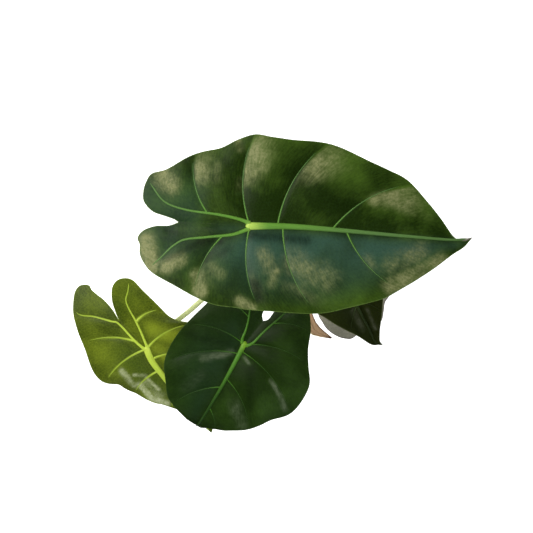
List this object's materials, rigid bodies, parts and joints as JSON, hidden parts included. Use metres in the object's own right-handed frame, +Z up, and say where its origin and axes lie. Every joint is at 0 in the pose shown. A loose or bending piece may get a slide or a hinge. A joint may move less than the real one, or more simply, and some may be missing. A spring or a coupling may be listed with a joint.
{
  "type": "potted golden bone alocasia",
  "caption": "Young alocasia in a plain nursery pot, with glossy arrow-shaped leaves, pale raised ribs and a dry papery sheath.",
  "frame": {"origin": "middle of the pot's flat underside", "axes": "+Z up along the pot, +X towards the tip of the largest leaf, +Y away from the two lower leaves that lean forward"},
  "size_m": [0.3301, 0.2515, 0.3511],
  "materials": {
    "leaf": "smooth waxy leaf, soft gloss, dark green with a paler grey underside",
    "young_leaf": "smooth waxy leaf, soft gloss, yellow green",
    "stalk": "smooth fleshy stalk and ribs, light green, soft sheen",
    "young_stalk": "smooth fleshy stalk and ribs, pale yellow green, soft sheen",
    "dry_sheath": "dry, papery and finely veined, matt",
    "stem_base": "corky, ringed and matt",
    "soil": "loose dark potting mix, rough and matt",
    "pot": "moulded anthracite plastic, matt"
  },
  "bodies": {
    "root": {"leaf_1_blade": "leaf", "leaf_1_stalk_and_ribs": "stalk", "leaf_2_blade": "leaf", "leaf_2_stalk_and_ribs": "stalk", "leaf_3_blade": "young_leaf", "leaf_3_stalk_and_ribs": "young_stalk", "leaf_4_blade": "leaf", "leaf_4_stalk_and_ribs": "stalk", "leaf_5_blade": "leaf", "leaf_5_stalk_and_ribs": "stalk", "dry_sheath": "dry_sheath", "stem_base": "stem_base", "soil": "soil", "pot": "pot"}
  },
  "joints": []
}
